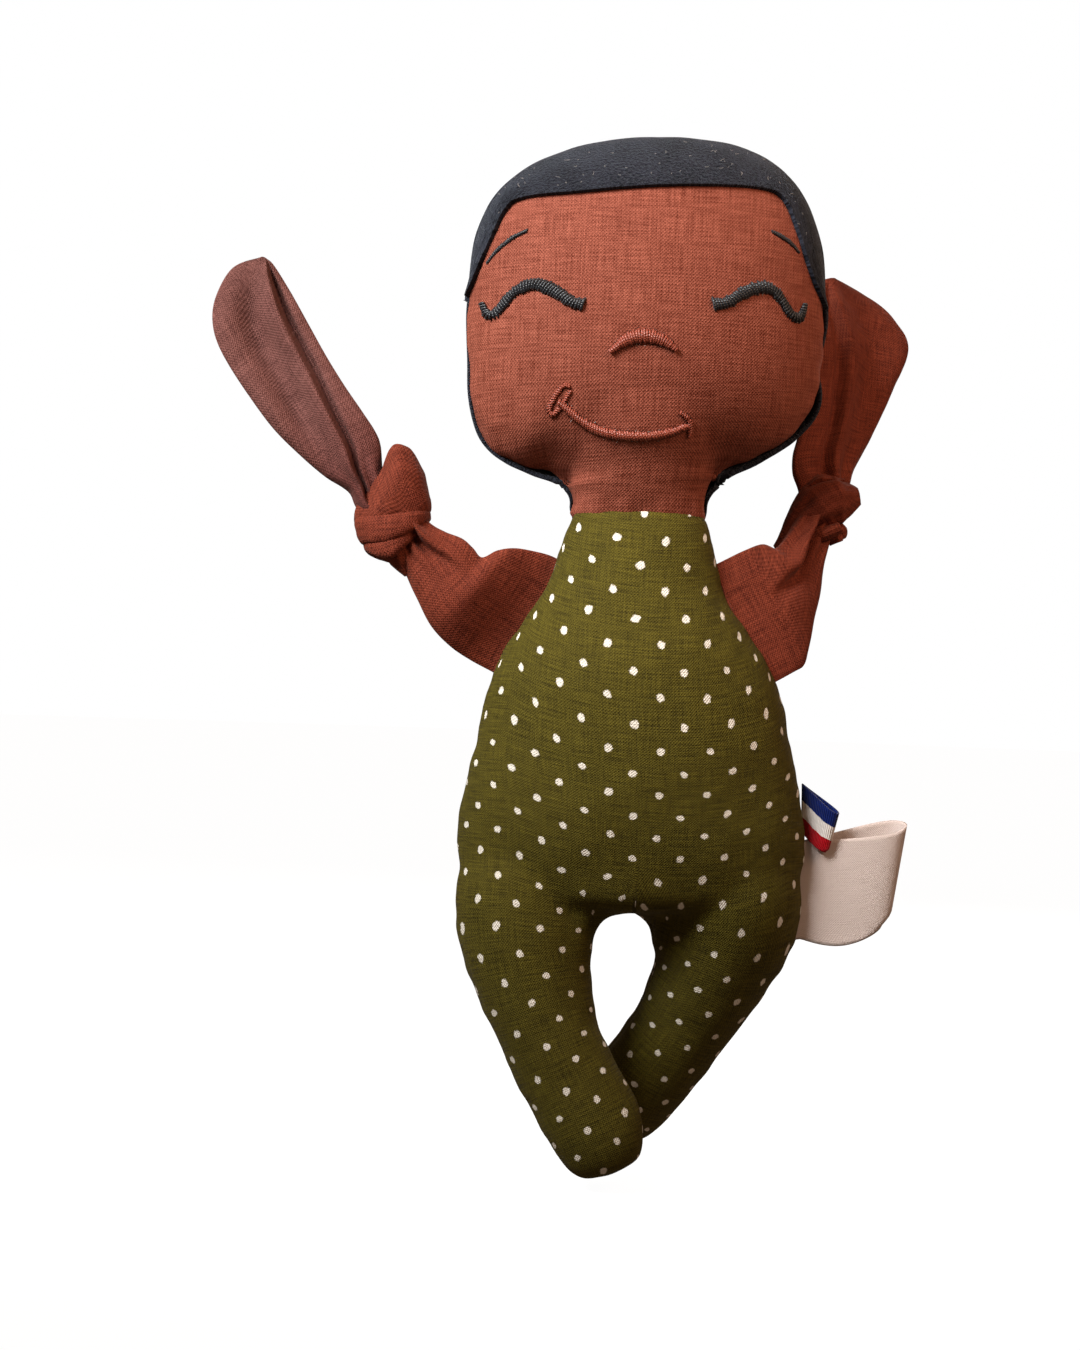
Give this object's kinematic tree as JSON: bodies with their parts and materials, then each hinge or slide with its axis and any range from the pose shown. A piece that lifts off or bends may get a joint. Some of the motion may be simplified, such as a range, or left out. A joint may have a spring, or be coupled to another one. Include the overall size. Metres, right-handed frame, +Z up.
{
  "type": "cloth doll",
  "caption": "Soft cloth doll with a stuffed head and body, knotted cloth arms, crossed legs, felt hair and a stitched face, made to be held.",
  "frame": {"origin": "inside the belly, where a hand holds the doll", "axes": "+Z up through the head, -Y out of the face, +X to the doll's left"},
  "size_m": [0.1506, 0.0701, 0.2191],
  "materials": {
    "rust_linen": "matte",
    "rust_cotton": "matte",
    "black_felt": "matte",
    "green_dot_cotton": "matte",
    "fibre_fill": "matte",
    "black_thread": "matte",
    "rust_thread": "matte",
    "white_satin": "matte",
    "tricolour_ribbon": "matte"
  },
  "bodies": {
    "torso": {"torso_front": "green_dot_cotton", "torso_back": "green_dot_cotton", "torso_stuffing": "fibre_fill"},
    "head": {"face_panel": "rust_linen", "hair_front": "black_felt", "hair_back": "black_felt", "head_stuffing": "fibre_fill", "right_eye": "black_thread", "left_eye": "black_thread", "right_brow": "black_thread", "left_brow": "black_thread", "nose": "rust_thread", "mouth": "rust_thread"},
    "right_leg": {"right_leg_front": "green_dot_cotton", "right_leg_back": "green_dot_cotton", "right_leg_stuffing": "fibre_fill"},
    "left_leg": {"left_leg_front": "green_dot_cotton", "left_leg_back": "green_dot_cotton", "left_leg_stuffing": "fibre_fill"},
    "right_arm": {"right_arm": "rust_cotton", "right_arm_knot": "rust_cotton"},
    "right_hand": {"right_hand": "rust_cotton"},
    "left_arm": {"left_arm": "rust_cotton", "left_arm_knot": "rust_cotton"},
    "left_hand": {"left_hand": "rust_cotton"},
    "ribbon": {"ribbon_loop": "tricolour_ribbon"},
    "label": {"label_loop": "white_satin"}
  },
  "joints": [
    {"name": "neck_nod", "type": "hinge", "parent": "torso", "child": "head", "pos_m": [0, 0, 0.05195], "axis": [1, 0, 0], "range_deg": [-20, 35], "stiffness_Nm_per_rad": 0.08},
    {"name": "right_arm_swing", "type": "hinge", "parent": "torso", "child": "right_arm", "pos_m": [-0.02555, 0, 0.03917], "axis": [0.4217, 0, 0.9067], "range_deg": [-65, 65], "stiffness_Nm_per_rad": 0.02},
    {"name": "right_hand_bend", "type": "hinge", "parent": "right_arm", "child": "right_hand", "pos_m": [-0.05997, 0, 0.07107], "axis": [0.8084, 0, 0.5886], "range_deg": [-50, 50], "stiffness_Nm_per_rad": 0.01},
    {"name": "left_arm_swing", "type": "hinge", "parent": "torso", "child": "left_arm", "pos_m": [0.02555, 0, 0.03917], "axis": [0.4217, 0, -0.9067], "range_deg": [-25, 105], "stiffness_Nm_per_rad": 0.02},
    {"name": "left_hand_bend", "type": "hinge", "parent": "left_arm", "child": "left_hand", "pos_m": [0.04229, 0.02433, 0.07196], "axis": [0.7926, 0.4624, -0.3975], "range_deg": [-50, 50], "stiffness_Nm_per_rad": 0.01},
    {"name": "right_leg_swing", "type": "hinge", "parent": "torso", "child": "right_leg", "pos_m": [0, 0, -0.015], "axis": [-1, 0, 0], "range_deg": [0, 50], "stiffness_Nm_per_rad": 0.03},
    {"name": "left_leg_swing", "type": "hinge", "parent": "torso", "child": "left_leg", "pos_m": [0, 0, -0.015], "axis": [-1, 0, 0], "range_deg": [-40, 0], "stiffness_Nm_per_rad": 0.03},
    {"name": "ribbon_flap", "type": "hinge", "parent": "torso", "child": "ribbon", "pos_m": [0.0373, 0, 0.0044], "axis": [0, 0, -1], "range_deg": [0, 45], "stiffness_Nm_per_rad": 0.0003},
    {"name": "label_flap", "type": "hinge", "parent": "torso", "child": "label", "pos_m": [0.0373, 0, -0.0085], "axis": [0, 0, 1], "range_deg": [0, 60], "stiffness_Nm_per_rad": 0.0003}
  ]
}
